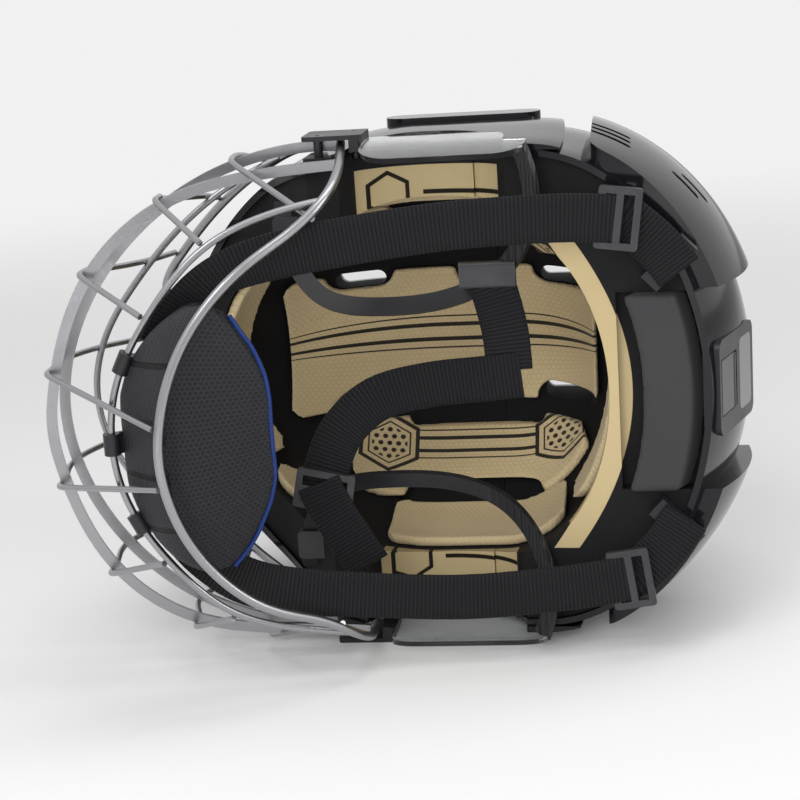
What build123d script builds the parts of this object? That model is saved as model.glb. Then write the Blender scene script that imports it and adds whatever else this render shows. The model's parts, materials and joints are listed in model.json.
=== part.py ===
"""Ice hockey helmet with a wire cage, lying on its right side.

X runs to the back of the helmet, Y to its crown and Z to the wearer's left.
The mid-plane is Z = 0 while the pieces are made, and the whole is lifted at the end.
"""

import os
from math import cos, radians, sin, sqrt

from build123d import *

os.makedirs("parts", exist_ok=True)

# Shell, seen from the wearer's side and from below
front_reach = 136.0
rear_reach = 127.5
half_width = 112.0
crown_height = 104.0
front_centre = -20.0
rear_centre = 30.0
rim_depth = 64.0
rim_margin = 3.0
side_taper_share = 0.055
rear_tuck = 20.0
level_angles = (0, 18, 36, 52, 66, 78, 85.5)
lower_shares = (1 + rim_margin / rim_depth, 0.5)

shell_wall = 3.0
shell_gap = 0.3
size_travel = 12.0
rear_step = shell_wall + shell_gap
foam_step = rear_step + shell_wall + shell_gap

# Hollow of the foam, where the head goes
cavity_front = 122.0
cavity_rear = 66.0
cavity_half = 84.0
cavity_height = 86.0
cavity_rear_centre = 10.0
pad_wall = 4.5
pad_gap = 0.3

# Rim, as points of the side view from brow to nape
brow_edge = ((-160, 3), (-118, -1), (-95, -9), (-77, -30), (-64, -48))
ear_arch = ((-50, -50), (-41, -31), (-16, -22), (10, -29), (22, -57))
nape_edge = ((60, -60), (104, -63), (150, -63))
reach_out = 170.0


# Pads, as places on the hollow
crown_pad_front = -96.5
crown_pad_back = 54.0
crown_pad_half = 34.0
side_pad_z = 56.0
side_pad_half = 11.0
side_hex_radius = 18.0
side_hex_front = -51.0
side_hex_back = 36.0
side_pad_low = 33.0
low_pad_top = 18.0
temple_pad = (-98, -62, -1)
ear_pad = (-46, 38, -10, 31)
brow_pad_half = 43.0
brow_pad_low = 4.0
brow_pad_top = 29.0
occipital_half = 62.0
occipital_low = -12.0
pad_corner = 8.0

# Nape pad on the foam's lower face
nape_top = -50.0
nape_half = 43.0
nape_inset = 12.0
nape_wall = 22.0
nape_lip = 1.5

front_shell_back = ((42, -90), (46, -12), (36, 58), (16, 130))
rear_shell_front = -14.0
rear_lift = 1.5
foam_split = 6.0
foam_split_gap = 0.3
rim_reveal = 3.0
front_foam_step_x = -24.0


def egg(level, front, rear, half, back_centre):
    """Level section of two half ellipses joined by straight sides."""
    with BuildSketch(Plane.XZ.offset(-level)) as section:
        with BuildLine():
            EllipticalCenterArc((front_centre, 0), front, half, start_angle=90, arc_size=180)
            Line((front_centre, -half), (back_centre, -half))
            EllipticalCenterArc((back_centre, 0), rear, half, start_angle=-90, arc_size=180)
            Line((back_centre, half), (front_centre, half))
        make_face()
    return section.sketch


def dome(inset):
    """Solid inside the shell's outer surface, taken in by the inset."""
    front = front_reach + front_centre - inset
    rear = rear_reach - rear_centre - inset
    half = half_width - inset
    sections = []
    for share in lower_shares:
        taper = 1 - side_taper_share * share**2
        tucked = rear - rear_tuck * share**2
        sections.append(egg(-rim_depth * share, front, tucked, half * taper, rear_centre))
    for angle in level_angles:
        level = (crown_height - inset) * sin(radians(angle))
        share = cos(radians(angle))
        sections.append(egg(level, front * share, rear * share, half * share, rear_centre))
    with BuildPart() as form:
        loft(sections)
    return form.part


def cavity(inset):
    """Solid that fills the foam's hollow, taken in by the inset."""
    front = cavity_front + front_centre - inset
    rear = cavity_rear - cavity_rear_centre - inset
    half = cavity_half - inset
    low = -rim_depth * lower_shares[0] - rim_margin
    taper = 1 - side_taper_share
    sections = [egg(low, front, rear, half * taper, cavity_rear_centre)]
    for angle in level_angles:
        level = (cavity_height - inset) * sin(radians(angle))
        share = cos(radians(angle))
        sections.append(egg(level, front * share, rear * share, half * share, cavity_rear_centre))
    with BuildPart() as form:
        loft(sections)
    return form.part


def rim_region(lift):
    """Side view of everything above the rim, raised by the lift."""
    with BuildSketch() as region:
        with BuildLine():
            brow = Spline(*[(x, y + lift) for x, y in brow_edge])
            Line(brow @ 1, (ear_arch[0][0], ear_arch[0][1] + lift))
            arch = Spline(*[(x, y + lift) for x, y in ear_arch])
            nape = Polyline(arch @ 1, *[(x, y + lift) for x, y in nape_edge])
            Polyline(nape @ 1, (reach_out, reach_out), (-reach_out, reach_out), brow @ 0)
        make_face()
    return region.sketch


def shell_side(x, y, inset=0.0):
    """Half width of the shell's outside at a place in the side view."""
    if y < 0:
        square = (y / rim_depth) ** 2
        half = (half_width - inset) * (1 - side_taper_share * square)
        rear = rear_reach - rear_centre - inset - rear_tuck * square
        front = front_reach + front_centre - inset
    else:
        share = sqrt(1 - (y / (crown_height - inset)) ** 2)
        half = (half_width - inset) * share
        rear = (rear_reach - rear_centre - inset) * share
        front = (front_reach + front_centre - inset) * share
    if x < front_centre:
        return half * sqrt(1 - ((x - front_centre) / front) ** 2)
    if x > rear_centre:
        return half * sqrt(1 - ((x - rear_centre) / rear) ** 2)
    return half


# Vents through crown and brow, cut along Y
vent_width = 8.0
crown_vents = ((40, 29, 26), (-4, 28, 14), (-62, 30, 24))
brow_vents = ((-98, 62, 22),)


def vents(places):
    """Slots in pairs, right through the helmet along Y."""
    with BuildPart() as slots:
        with BuildSketch(Plane.XZ):
            for x, z, length in places:
                with Locations((x, z), (x, -z)):
                    SlotOverall(length, vent_width)
        extrude(amount=-reach_out)
    return slots.part


rear_outside = dome(rear_step)
foam_outside = dome(foam_step)
hollow = cavity(0)
crown_slots = vents(crown_vents)
brow_slots = vents(brow_vents)

# Flat side ribs of the front shell, which it lies on, and corner wings of the rear shell
rib_root = 9.0
rib_front = -36.0
rib_back = 34.0
rib_low = 8.0
rib_top = 24.5
wing_front = 58.0
wing_low = -56.0
wing_top = 12.0
wing_inner = 44.0
wing_proud = 4.0
wing_corner = 6.0
wing_slots = ((97, -27), (101, -19))
wing_slot_length = 11.0
wing_slot_width = 3.4
louvers = ((66, -34), (66, -27), (66, -20))
louver_length = 17.0
shell_screw_x = -4.0
shell_screw_y = 31.0
shell_screw_radius = 2.2
shell_screw_head = 4.0
fit_gap = 0.05

# Clips of the cage and the screws that hold them to the shell
clip_front = -64.0
clip_back = -38.0
clip_low = -51.0
clip_top = -27.0
clip_wall = 2.0
clip_corner = 2.0
clip_proud = 2.2
clip_face = half_width + clip_proud
channel_top = clip_face - clip_wall
channel_depth = 7.2
channel_low = channel_top - channel_depth
channel_back = -43.6
screw_places = ((-44, -31), (-57.5, -46.2))
screw_radius = 2.0
screw_head = 3.2
screw_head_depth = 1.2
screw_socket = 1.4
screw_length = 12.0
brow_clip_z = 31.0
brow_screw_y = 20.0
brow_screw_x = -137.5
brow_screw_length = 12.0

with BuildPart() as screw_bores:
    with BuildSketch(Plane.XY.offset(clip_face)):
        with Locations(*screw_places):
            Circle(screw_radius)
    extrude(amount=-screw_length)
    with BuildSketch(Plane.YZ.offset(brow_screw_x)):
        with Locations((brow_screw_y, brow_clip_z)):
            Circle(screw_radius)
    extrude(amount=brow_screw_length)
    mirror(about=Plane.XY)

shell_outside = dome(0)
shell_inside = dome(shell_wall)

with BuildPart() as ribs:
    with BuildSketch(Plane.XY.offset(clip_face)):
        with Locations(((rib_front + rib_back) / 2, (rib_low + rib_top) / 2)):
            SlotOverall(rib_back - rib_front, rib_top - rib_low)
    extrude(amount=-rib_root)
    mirror(about=Plane.XY)
    add(shell_outside, mode=Mode.SUBTRACT)

with BuildPart() as front_shell:
    add(shell_outside)
    add(shell_inside, mode=Mode.SUBTRACT)
    add(Pos(size_travel, 0, 0) * shell_inside, mode=Mode.SUBTRACT)
    with BuildSketch():
        add(rim_region(0))
        with BuildLine():
            edge = Spline(*front_shell_back)
            Polyline(edge @ 1, (-reach_out, reach_out), (-reach_out, -reach_out), edge @ 0)
        make_face(mode=Mode.INTERSECT)
    extrude(amount=reach_out, both=True, mode=Mode.INTERSECT)
    add(ribs.part)
    add(crown_slots, mode=Mode.SUBTRACT)
    add(brow_slots, mode=Mode.SUBTRACT)
    with BuildSketch():
        with Locations((shell_screw_x, shell_screw_y)):
            Circle(shell_screw_radius)
    extrude(amount=reach_out, both=True, mode=Mode.SUBTRACT)
    add(screw_bores.part, mode=Mode.SUBTRACT)
front_shell.part.label = "front_shell"

with BuildPart() as wings:
    add(dome(-wing_proud))
    add(rear_outside, mode=Mode.SUBTRACT)
    with BuildSketch():
        with Locations((wing_front, wing_low)):
            RectangleRounded(
                reach_out, wing_top - wing_low, wing_corner, align=(Align.MIN, Align.MIN)
            )
    extrude(amount=reach_out, both=True, mode=Mode.INTERSECT)
    with BuildSketch(Plane.XZ):
        Rectangle(2 * reach_out, 2 * wing_inner)
    extrude(amount=reach_out, both=True, mode=Mode.SUBTRACT)

# Size lever on the nape, in a well of the rear shell
lever_y = -34.0
lever_sink = 6.0
lever_slope = 2 * rear_tuck * lever_y / rim_depth**2
lever_x = rear_reach - rear_step - rear_tuck * (lever_y / rim_depth) ** 2 - lever_sink
lever_plane = Plane(origin=(lever_x, lever_y, 0), x_dir=(0, 0, 1), z_dir=(1, lever_slope, 0))
housing_width = 42.0
housing_height = 50.0
housing_proud = 4.4
housing_root = 3.0
housing_corner = 5.0
badge_width = 32.0
badge_height = 17.0
badge_place = -13.0
badge_depth = 1.2
badge_corner = 3.0
lever_width = 24.0
lever_gap = 0.4
pocket_start = 0.0
pocket_end = 23.0
pocket_floor = 0.2
pin_place = 3.2
pin_height = 2.6
pin_radius = 1.0
barrel_radius = 2.2
lever_start = 3.2
lever_end = 22.4
lever_low = 0.6

with BuildPart() as lever_well:
    with BuildSketch(lever_plane.offset(-housing_root - fit_gap)):
        RectangleRounded(housing_width + 2 * fit_gap, housing_height + 2 * fit_gap, housing_corner + fit_gap)
    extrude(amount=reach_out)

with BuildPart() as rear_shell:
    add(rear_outside)
    add(dome(rear_step + shell_wall), mode=Mode.SUBTRACT)
    with BuildSketch():
        add(rim_region(rear_lift))
        with Locations((rear_shell_front, 0)):
            Rectangle(
                2 * reach_out, 2 * reach_out, align=(Align.MIN, Align.CENTER), mode=Mode.INTERSECT
            )
    extrude(amount=reach_out, both=True, mode=Mode.INTERSECT)
    add(wings.part)
    add(crown_slots, mode=Mode.SUBTRACT)
    add(lever_well.part, mode=Mode.SUBTRACT)
    with BuildSketch():
        with Locations(*wing_slots):
            SlotOverall(wing_slot_length, wing_slot_width)
        with Locations(*louvers):
            SlotOverall(louver_length, wing_slot_width)
        with Locations((shell_screw_x + shell_screw_radius + fit_gap, shell_screw_y)):
            Rectangle(
                half_width, 2 * (shell_screw_radius + fit_gap), align=(Align.MAX, Align.CENTER)
            )
    extrude(amount=reach_out, both=True, mode=Mode.SUBTRACT)
rear_shell.part.label = "rear_shell"


with BuildPart() as front_foam:
    add(rear_outside)
    with BuildSketch():
        with Locations((front_foam_step_x, 0)):
            Rectangle(2 * reach_out, 2 * reach_out, align=(Align.MAX, Align.CENTER))
    extrude(amount=reach_out, both=True, mode=Mode.INTERSECT)
    add(foam_outside)
    with BuildSketch():
        add(rim_region(rim_reveal))
        with Locations((foam_split, 0)):
            Rectangle(
                2 * reach_out, 2 * reach_out, align=(Align.MAX, Align.CENTER), mode=Mode.INTERSECT
            )
    extrude(amount=reach_out, both=True, mode=Mode.INTERSECT)
    add(hollow, mode=Mode.SUBTRACT)
    add(crown_slots, mode=Mode.SUBTRACT)
    add(brow_slots, mode=Mode.SUBTRACT)
    with BuildSketch():
        with Locations((shell_screw_x, shell_screw_y)):
            Circle(shell_screw_radius)
    extrude(amount=reach_out, both=True, mode=Mode.SUBTRACT)
    add(screw_bores.part, mode=Mode.SUBTRACT)
front_foam.part.label = "front_foam"

with BuildPart() as rear_foam:
    add(foam_outside)
    with BuildSketch():
        add(rim_region(rim_reveal + rear_lift))
        with Locations((foam_split + foam_split_gap, 0)):
            Rectangle(
                2 * reach_out, 2 * reach_out, align=(Align.MIN, Align.CENTER), mode=Mode.INTERSECT
            )
    extrude(amount=reach_out, both=True, mode=Mode.INTERSECT)
    add(hollow, mode=Mode.SUBTRACT)
    add(crown_slots, mode=Mode.SUBTRACT)
    with BuildSketch(Plane.XZ.offset(-nape_top)):
        with Locations((cavity_rear + pad_gap, 0)):
            Rectangle(reach_out, 2 * (nape_half + pad_gap), align=(Align.MIN, Align.CENTER))
    extrude(amount=reach_out, mode=Mode.SUBTRACT)
    add(lever_well.part, mode=Mode.SUBTRACT)
rear_foam.part.label = "rear_foam"


# Layer on the foam's hollow that every pad is cut from
with BuildPart() as lining:
    add(cavity(pad_gap))
    add(cavity(pad_gap + pad_wall), mode=Mode.SUBTRACT)

with BuildPart() as crown_pad:
    add(lining.part)
    with BuildSketch(Plane.XZ):
        with Locations(((crown_pad_front + crown_pad_back) / 2, 0)):
            RectangleRounded(crown_pad_back - crown_pad_front, 2 * crown_pad_half, pad_corner)
        for x, z, length in crown_vents:
            notch = z + vent_width / 2
            with Locations((x, notch), (x, -notch)):
                SlotOverall(length + vent_width, 2 * vent_width, mode=Mode.SUBTRACT)
    extrude(amount=-reach_out, mode=Mode.INTERSECT)
crown_pad.part.label = "crown_pad"

with BuildPart() as left_side_pad:
    add(lining.part)
    with BuildSketch(Plane.XZ):
        with Locations((side_hex_front, side_pad_z), (side_hex_back, side_pad_z)):
            RegularPolygon(side_hex_radius, 6)
        with Locations(((side_hex_front + side_hex_back) / 2, side_pad_z)):
            Rectangle(side_hex_back - side_hex_front, 2 * side_pad_half)
    extrude(amount=-reach_out, mode=Mode.INTERSECT)
    with BuildSketch(Plane.XZ.offset(-side_pad_low)):
        Rectangle(2 * reach_out, 2 * reach_out)
    extrude(amount=reach_out, mode=Mode.SUBTRACT)
left_side_pad.part.label = "left_side_pad"

with BuildPart() as left_temple_pad:
    add(lining.part)
    front, back, low = temple_pad
    with BuildSketch():
        with Locations(((front + back) / 2, (low + low_pad_top) / 2)):
            RectangleRounded(back - front, low_pad_top - low, pad_corner)
    extrude(amount=reach_out, mode=Mode.INTERSECT)
left_temple_pad.part.label = "left_temple_pad"

with BuildPart() as left_ear_pad:
    add(lining.part)
    front, back, low, top = ear_pad
    with BuildSketch():
        with Locations(((front + back) / 2, (low + top) / 2)):
            RectangleRounded(back - front, top - low, pad_corner)
    extrude(amount=reach_out, mode=Mode.INTERSECT)
left_ear_pad.part.label = "left_ear_pad"

with BuildPart() as brow_pad:
    add(lining.part)
    with BuildSketch(Plane.YZ):
        with Locations(((brow_pad_low + brow_pad_top) / 2, 0)):
            RectangleRounded(brow_pad_top - brow_pad_low, 2 * brow_pad_half, pad_corner)
    extrude(amount=-reach_out, mode=Mode.INTERSECT)
brow_pad.part.label = "brow_pad"

with BuildPart() as occipital_pad:
    add(lining.part)
    with BuildSketch(Plane.YZ):
        with Locations(((occipital_low + low_pad_top) / 2, 0)):
            RectangleRounded(low_pad_top - occipital_low, 2 * occipital_half, pad_corner)
    extrude(amount=reach_out, mode=Mode.INTERSECT)
occipital_pad.part.label = "occipital_pad"

with BuildPart() as nape_pad:
    add(dome(nape_inset))
    add(dome(nape_inset + nape_wall), mode=Mode.SUBTRACT)
    with BuildSketch(Plane.XZ.offset(-nape_top + pad_gap)):
        with Locations((cavity_rear, 0)):
            Rectangle(reach_out, 2 * nape_half, align=(Align.MIN, Align.CENTER))
    extrude(amount=rim_depth + nape_top - nape_lip, mode=Mode.INTERSECT)
    fillet(nape_pad.edges().group_by(Axis.Y)[0], nape_lip)
nape_pad.part.label = "nape_pad"

# Cage wires, each as points from the mid-plane to the left side
wire_radius = 1.3
eye_wire_radius = 1.5
rim_wire_radius = 2.0
flat_depth = 4.5
flat_wall = 2.2
weld_depth = 0.3
bisections = 40
bar_spans = 16
ring_spans = 20
side_spans = 8
straight_enough = 0.0002
hinge_x = -143.0
hinge_y = 3.0
brow_straight = 40.0
brow_wire_lead = (0.75, -0.6, 0.2)
brow_wire_line = ((-137, 2, 54), (-121, -2, 72), (-96, -10, 93), (-72, -20, 106), (-49, -38, 110))
eye_bar_line = ((-170, -33, 0), (-165, -33, 24), (-147, -31, 52), (-122, -28, 78), (-81, -17, 102))
nose_bar_line = ((-176, -62, 0), (-173, -62, 22), (-156, -60, 58), (-126, -54, 88), (-90, -46, 105))
nose_bar_end = (-50, -41, 109)
mouth_bar_line = ((-173, -91, 0), (-170, -90, 22), (-154, -86, 62), (-124, -77, 90), (-86, -66, 100.5))
mouth_bar_end = (-47, -62, 103.5)
cup_bar_line = ((-139, -119, 0), (-135, -118, 25), (-120, -116, 52), (-96, -108, 78), (-70, -98, 89))
cup_bar_end = (-50.6, -93.4, 92.7)
ring_line = (
    (-113, -144, 0),
    (-112, -143.5, 12),
    (-101, -136, 45),
    (-77, -121, 72),
    (-60, -105, 83),
    (-49, -93, 93),
    (-46, -62, 105.5),
    (-49, -38, 110),
)


def both_sides(points):
    """Points from right to left, mirrored in the mid-plane."""
    return [(x, y, -z) for x, y, z in reversed(points) if z] + list(points)


def stations_on(guide, spans):
    """Evenly spaced places on a guide curve, each with its direction there."""
    return [(guide @ (step / spans), guide % (step / spans)) for step in range(spans + 1)]


def arcs_through(stations):
    """Two touching arcs between each place and the next, in their directions."""
    with BuildLine() as line:
        for (start, leave), (end, arrive) in zip(stations, stations[1:]):
            chord = end - start
            reach = chord.dot(leave + arrive)
            bend = 2 * (1 - leave.dot(arrive)) * chord.dot(chord)
            length = chord.dot(chord) / (reach + sqrt(reach**2 + bend))
            across = (end - arrive * length) - (start + leave * length)
            middle = start + leave * length + across / 2
            for near, far, way in ((start, middle, leave), (middle, end, across.normalized())):
                if way.cross((far - near).normalized()).length < straight_enough:
                    Line(near, far)
                else:
                    TangentArc(near, far, tangent=way)
    return line.wire()


def round_wire(stations, radius):
    place, way = stations[0]
    with BuildPart() as wire:
        with BuildSketch(Plane(origin=place, z_dir=way)):
            Circle(radius)
        sweep(path=arcs_through(stations))
    return wire.part


def flat_bar(stations):
    """Bar of flat section with its deep side level."""
    place, way = stations[0]
    with BuildPart() as bar:
        with BuildSketch(Plane(origin=place, x_dir=(way.Z, 0, -way.X), z_dir=way)):
            Rectangle(flat_depth, flat_wall)
        sweep(path=arcs_through(stations))
    return bar.part


def point_at_side(path, z):
    """Place on a bar's left half where it is z from the mid-plane."""
    low, high = 0.5, 1.0
    for _ in range(bisections):
        middle = (low + high) / 2
        low, high = (middle, high) if (path @ middle).Z < z else (low, middle)
    return path @ low, path % low


def outside(path, z, out, down=0.0):
    """Place off a bar, out from the face and down from the bar."""
    place, along = point_at_side(path, z)
    level = Vector(along.X, 0, along.Z).normalized()
    return place + Vector(-level.Z, 0, level.X) * out - Vector(0, down, 0)


with BuildLine() as brow_path:
    straight = Line((hinge_x, hinge_y, -brow_straight), (hinge_x, hinge_y, brow_straight))
    left_side = Spline(straight @ 1, *brow_wire_line, tangents=((0, 0, 1), brow_wire_lead))
    mirrored = [(x, y, -z) for x, y, z in reversed(brow_wire_line)]
    lead_in = (-brow_wire_lead[0], -brow_wire_lead[1], brow_wire_lead[2])
    right_side = Spline(*mirrored, straight @ 0, tangents=(lead_in, (0, 0, 1)))
with BuildLine() as eye_path:
    Spline(*both_sides(eye_bar_line))
with BuildLine() as nose_path:
    Spline(*both_sides(nose_bar_line + (nose_bar_end,)))
with BuildLine() as mouth_path:
    Spline(*both_sides(mouth_bar_line + (mouth_bar_end,)))
with BuildLine() as cup_path:
    Spline(*both_sides(cup_bar_line + (cup_bar_end,)))
with BuildLine() as ring_path:
    Spline(*both_sides(ring_line))

with BuildPart() as brow_wire:
    add(round_wire(stations_on(right_side, side_spans) + stations_on(left_side, side_spans), rim_wire_radius))
brow_wire.part.label = "brow_wire"

with BuildPart() as eye_bar:
    add(round_wire(stations_on(eye_path.wire(), bar_spans), eye_wire_radius))
eye_bar.part.label = "eye_bar"

with BuildPart() as nose_bar:
    add(flat_bar(stations_on(nose_path.wire(), bar_spans)))
nose_bar.part.label = "nose_bar"

with BuildPart() as mouth_bar:
    add(flat_bar(stations_on(mouth_path.wire(), bar_spans)))
mouth_bar.part.label = "mouth_bar"

with BuildPart() as cup_bar:
    add(round_wire(stations_on(cup_path.wire(), bar_spans), eye_wire_radius))
cup_bar.part.label = "cup_bar"

with BuildPart() as chin_ring:
    add(round_wire(stations_on(ring_path.wire(), ring_spans), rim_wire_radius))
chin_ring.part.label = "chin_ring"

# Wires from the brow down over the bars and in under the chin, as their places off the mid-plane
wire_places = ((20, 21.5, 22.5, 24, 12), (57, 59, 61, 64, 51), (82, 86, 89, 91.5, 78))
side_wire_places = (99, 104, 88)
side_wire_sink = -2.0
wire_bend = 7.0
wire_drop = 4.0
side_wire_drop = 12.0
brow_out = rim_wire_radius + wire_radius - weld_depth
eye_out = eye_wire_radius + wire_radius - weld_depth
flat_out = flat_depth / 2 + wire_radius - weld_depth


def bent_wire(points, corner, end):
    """Round wire over the points, bent tight at the corner and straight to the end."""
    toward = (end - corner).normalized()
    with BuildLine() as upper:
        Spline(*points, tangents=(points[1] - points[0], corner - points[-1]))
    straight = [(corner + toward * wire_bend, toward), (end, toward)]
    return round_wire(stations_on(upper.wire(), side_spans) + straight, wire_radius)


with BuildPart() as cage_wires:
    for place, (brow_z, eye_z, nose_z, mouth_z, chin_z) in enumerate(wire_places):
        down = (
            outside(brow_path.wire(), brow_z, brow_out),
            outside(eye_path.wire(), eye_z, eye_out),
            outside(nose_path.wire(), nose_z, flat_out),
            outside(mouth_path.wire(), mouth_z, flat_out),
        )
        chin_path = cup_path if place else ring_path
        add(bent_wire(down, down[-1] - Vector(0, wire_drop, 0), outside(chin_path.wire(), chin_z, eye_out)))
    brow_z, nose_z, ring_z = side_wire_places
    down = (outside(brow_path.wire(), brow_z, brow_out), outside(nose_path.wire(), nose_z, flat_out))
    corner = down[-1] - Vector(0, side_wire_drop, 0)
    add(bent_wire(down, corner, outside(ring_path.wire(), ring_z, side_wire_sink)))
    mirror(about=Plane.XY)
cage_wires.part.label = "cage_wires"

# Clips on the shell's sides that hold the cage's rim
with BuildPart() as left_cage_clip:
    with BuildSketch(Plane.XY.offset(clip_face)):
        with Locations(((clip_front + clip_back) / 2, (clip_low + clip_top) / 2)):
            RectangleRounded(clip_back - clip_front, clip_top - clip_low, clip_corner)
    extrude(amount=-(clip_face - half_width / 2))
    with BuildSketch(Plane.XY.offset(channel_low)):
        with Locations((channel_back, (clip_low + clip_top) / 2)):
            Rectangle(reach_out, reach_out, align=(Align.MAX, Align.CENTER))
    extrude(amount=channel_top - channel_low, mode=Mode.SUBTRACT)
    add(shell_outside, mode=Mode.SUBTRACT)
    with BuildSketch(Plane.XY.offset(clip_face)):
        with Locations(*screw_places):
            Circle(screw_head)
    extrude(amount=-screw_head_depth, mode=Mode.SUBTRACT)
    with BuildSketch(Plane.XY.offset(clip_face)):
        with Locations(*screw_places):
            Circle(screw_radius)
    extrude(amount=-screw_length, mode=Mode.SUBTRACT)
left_cage_clip.part.label = "left_cage_clip"

with BuildPart() as clip_screws:
    with BuildSketch(Plane.XY.offset(clip_face)):
        with Locations(*screw_places):
            Circle(screw_head - fit_gap)
    extrude(amount=-screw_head_depth)
    with BuildSketch(Plane.XY.offset(clip_face)):
        with Locations(*screw_places):
            Circle(screw_radius - fit_gap)
    extrude(amount=-screw_length)
    with BuildSketch(Plane.XY.offset(clip_face)):
        with Locations(*screw_places):
            RegularPolygon(screw_socket, 6)
    extrude(amount=-screw_head_depth, mode=Mode.SUBTRACT)
    mirror(about=Plane.XY)
clip_screws.part.label = "clip_screws"

# Clips on the brow that the cage swings in
brow_clip_width = 12.0
brow_clip_eye = 4.6
brow_clip_foot = ((-147.2, 4.4), (-139.5, 8.5), (-134, 30), (-114, 30), (-114, -1), (-142, -1.5))

with BuildPart() as left_brow_clip:
    with BuildSketch(Plane.XY.offset(brow_clip_z - brow_clip_width / 2)):
        with Locations((hinge_x, hinge_y)):
            Circle(brow_clip_eye)
        with BuildLine():
            Polyline(*brow_clip_foot, close=True)
        make_face()
        with Locations((hinge_x, hinge_y)):
            Circle(rim_wire_radius + fit_gap, mode=Mode.SUBTRACT)
    extrude(amount=brow_clip_width)
    add(shell_outside, mode=Mode.SUBTRACT)
    with BuildSketch(Plane.YZ.offset(brow_screw_x)):
        with Locations((brow_screw_y, brow_clip_z)):
            Circle(screw_head)
    extrude(amount=-screw_length, mode=Mode.SUBTRACT)
    with BuildSketch(Plane.YZ.offset(brow_screw_x)):
        with Locations((brow_screw_y, brow_clip_z)):
            Circle(screw_radius)
    extrude(amount=brow_screw_length, mode=Mode.SUBTRACT)
left_brow_clip.part.label = "left_brow_clip"

with BuildPart() as brow_screws:
    with BuildSketch(Plane.YZ.offset(brow_screw_x)):
        with Locations((brow_screw_y, brow_clip_z)):
            Circle(screw_head - fit_gap)
    extrude(amount=-screw_head_depth)
    with BuildSketch(Plane.YZ.offset(brow_screw_x)):
        with Locations((brow_screw_y, brow_clip_z)):
            Circle(screw_radius - fit_gap)
    extrude(amount=brow_screw_length)
    with BuildSketch(Plane.YZ.offset(brow_screw_x - screw_head_depth)):
        with Locations((brow_screw_y, brow_clip_z)):
            RegularPolygon(screw_socket, 6)
    extrude(amount=screw_head_depth, mode=Mode.SUBTRACT)
    mirror(about=Plane.XY)
brow_screws.part.label = "brow_screws"

# Clear guards that hang below the ear cut-outs
guard_front = -37.6
guard_back = 32.0
guard_low = -76.0
guard_wall = 2.2
guard_arc = ((-14, 108.6), (-48, 111.0), (-76, 106.5))
guard_corner = 14.0
guard_top_lap = 1.2

with BuildPart() as left_ear_guard:
    with BuildSketch(Plane.YZ.offset(guard_front)):
        with BuildLine():
            outer = ThreePointArc(*guard_arc)
            inner = ThreePointArc(*[(y, z - guard_wall) for y, z in guard_arc])
            Line(outer @ 0, inner @ 0)
            Line(outer @ 1, inner @ 1)
        make_face()
    extrude(amount=guard_back - guard_front)
    with BuildSketch():
        with Locations(((guard_front + guard_back) / 2, guard_low)):
            RectangleRounded(
                guard_back - guard_front, reach_out, guard_corner, align=(Align.CENTER, Align.MIN)
            )
        add(rim_region(guard_top_lap), mode=Mode.SUBTRACT)
    extrude(amount=reach_out, mode=Mode.INTERSECT)
    add(front_shell.part, mode=Mode.SUBTRACT)
    add(rear_shell.part, mode=Mode.SUBTRACT)
left_ear_guard.part.label = "left_ear_guard"

# Soft plastic loops inside the ears
loop_width = 8.0
loop_wall = 2.4
loop_line = (
    (-78, -28, 84),
    (-74, -36, 61),
    (-61, -43, 44),
    (-36, -46, 39),
    (-8, -46, 41),
    (14, -48, 50),
    (31, -58, 74),
    (29, -62, 107.5),
)

with BuildPart() as left_ear_loop:
    with BuildLine() as loop_path:
        Spline(*loop_line)
    lead = loop_path.wire() % 0
    with BuildSketch(Plane(origin=loop_line[0], x_dir=(-lead.Z, 0, lead.X), z_dir=lead)):
        Rectangle(loop_width, loop_wall)
    sweep(path=arcs_through(stations_on(loop_path.wire(), bar_spans)))
    add(front_foam.part, mode=Mode.SUBTRACT)
    add(front_shell.part, mode=Mode.SUBTRACT)
    add(left_ear_guard.part, mode=Mode.SUBTRACT)
left_ear_loop.part.label = "left_ear_loop"

loop_clasp = (14.0, 6.0, 13.0)
loop_clasp_place = (-75.0, -34.0, 72.0)

with BuildPart() as left_loop_clasp:
    with Locations(loop_clasp_place):
        Box(*loop_clasp)
    fillet(left_loop_clasp.edges().filter_by(Axis.Y), clip_corner)
    add(left_ear_loop.part, mode=Mode.SUBTRACT)
    add(front_foam.part, mode=Mode.SUBTRACT)
left_loop_clasp.part.label = "left_loop_clasp"

shell_screw_root = 92.0
shell_screw_stand = 2.5

with BuildPart() as shell_screws:
    with BuildSketch(Plane.XY.offset(shell_screw_root)):
        with Locations((shell_screw_x, shell_screw_y)):
            Circle(shell_screw_head)
    extrude(amount=shell_side(shell_screw_x, shell_screw_y) + shell_screw_stand - shell_screw_root)
    fillet(shell_screws.edges().group_by(Axis.Z)[-1], screw_head_depth)
    add(shell_outside, mode=Mode.SUBTRACT)
    with BuildSketch(Plane.XY.offset(shell_screw_root)):
        with Locations((shell_screw_x, shell_screw_y)):
            Circle(shell_screw_radius - fit_gap)
    extrude(amount=shell_side(shell_screw_x, shell_screw_y) - shell_screw_root)
    mirror(about=Plane.XY)
shell_screws.part.label = "shell_screws"

# Webbing
web_width = 20.0
web_wall = 1.6


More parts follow.
